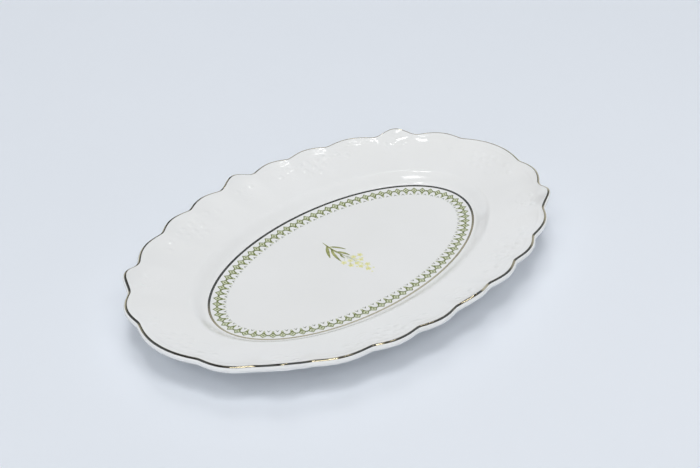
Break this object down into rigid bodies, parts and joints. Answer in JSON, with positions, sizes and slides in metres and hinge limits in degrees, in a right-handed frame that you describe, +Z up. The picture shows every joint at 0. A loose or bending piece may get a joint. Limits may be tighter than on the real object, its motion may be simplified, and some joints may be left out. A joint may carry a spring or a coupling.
{
  "type": "oval serving plate",
  "caption": "Oval porcelain serving plate with a scalloped lip, a broad flange, gilt lines, a printed lace border and a small sprig, standing on a foot ring.",
  "frame": {"origin": "on the table, under the middle of the plate", "axes": "+X along the plate's length, +Y across it, +Z up; the plate stands on its foot ring at z = 0"},
  "size_m": [0.362, 0.246, 0.032],
  "materials": {
    "porcelain": "clear glossy glaze over white porcelain",
    "gilding": "burnished gold, fired on",
    "green_enamel": "olive green enamel, fired on",
    "yellow_enamel": "pale yellow enamel, fired on"
  },
  "bodies": {
    "root": {"porcelain_body": "porcelain", "gilt_lip_band": "gilding", "gilt_well_line": "gilding", "border_print": "green_enamel", "sprig_stem": "green_enamel", "sprig_blossom_1": "yellow_enamel", "sprig_blossom_2": "yellow_enamel", "sprig_blossom_3": "yellow_enamel", "sprig_blossom_4": "yellow_enamel", "sprig_blossom_5": "yellow_enamel", "sprig_blossom_6": "yellow_enamel", "sprig_blossom_7": "yellow_enamel", "sprig_blossom_8": "yellow_enamel", "sprig_blossom_9": "yellow_enamel", "sprig_blossom_10": "yellow_enamel"}
  },
  "joints": []
}
